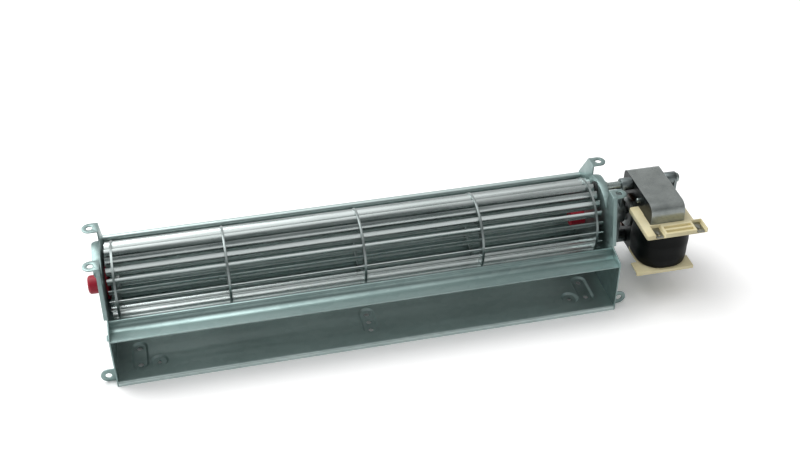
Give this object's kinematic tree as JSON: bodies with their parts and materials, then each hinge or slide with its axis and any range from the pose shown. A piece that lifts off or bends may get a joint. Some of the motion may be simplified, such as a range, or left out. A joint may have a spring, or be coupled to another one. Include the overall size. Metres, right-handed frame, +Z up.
{
  "type": "cross flow fan",
  "caption": "Cross flow fan: a long aluminium drum impeller in a folded galvanised casing with fixing ears, driven by an open shaded-pole motor on one end plate.",
  "frame": {"origin": "middle of the box around the fan, on the surface that its casing stands on", "axes": "+X along the impeller towards the motor, +Y to the rear, away from the outlet, +Z up"},
  "size_m": [0.4578, 0.0988, 0.0877],
  "materials": {
    "galvanised_sheet": "hot-dip galvanised, satin",
    "blade_aluminium": "rolled, semi-polished",
    "red_rubber": "silicone, satin",
    "black_rubber": "matt",
    "steel_shaft": "ground",
    "sintered_bronze": "matt",
    "lamination_steel": "varnished laminations",
    "rotor_cast_aluminium": "as cast",
    "copper": "bare",
    "bracket_steel": "black",
    "zinc_fastener": "zinc plated",
    "bobbin_nylon": "natural nylon",
    "black_tape": "varnished tape",
    "tinned_brass": "tinned"
  },
  "bodies": {
    "casing": {"scroll_housing": "galvanised_sheet", "vortex_tongue": "galvanised_sheet", "end_plate_left": "galvanised_sheet", "end_plate_right": "galvanised_sheet", "bearing_mount": "red_rubber", "bearing_bush": "sintered_bronze", "stator_stack": "lamination_steel", "core_bar": "lamination_steel", "shading_rings": "copper", "motor_bracket_inner": "bracket_steel", "motor_bracket_outer": "bracket_steel", "motor_bush_inner": "sintered_bronze", "motor_bush_outer": "sintered_bronze", "bracket_screws": "zinc_fastener", "clamp_screws": "zinc_fastener", "plate_grommets": "black_rubber", "grommet_nuts": "zinc_fastener", "spacer_sleeves": "zinc_fastener", "coil_bobbin": "bobbin_nylon", "coil_winding": "black_tape", "terminals": "tinned_brass"},
    "rotor": {"impeller_blades": "blade_aluminium", "ring_left": "blade_aluminium", "ring_middle": "blade_aluminium", "ring_right": "blade_aluminium", "end_disc_left": "blade_aluminium", "end_disc_right": "blade_aluminium", "stub_axle": "steel_shaft", "coupling_hub": "red_rubber", "motor_shaft": "steel_shaft", "motor_rotor": "lamination_steel", "rotor_end_rings": "rotor_cast_aluminium"}
  },
  "joints": [
    {"name": "impeller_spin", "type": "hinge", "parent": "casing", "child": "rotor", "pos_m": [-0.02855, 0.0113, 0.0474], "axis": [-1, 0, 0], "continuous": true}
  ]
}
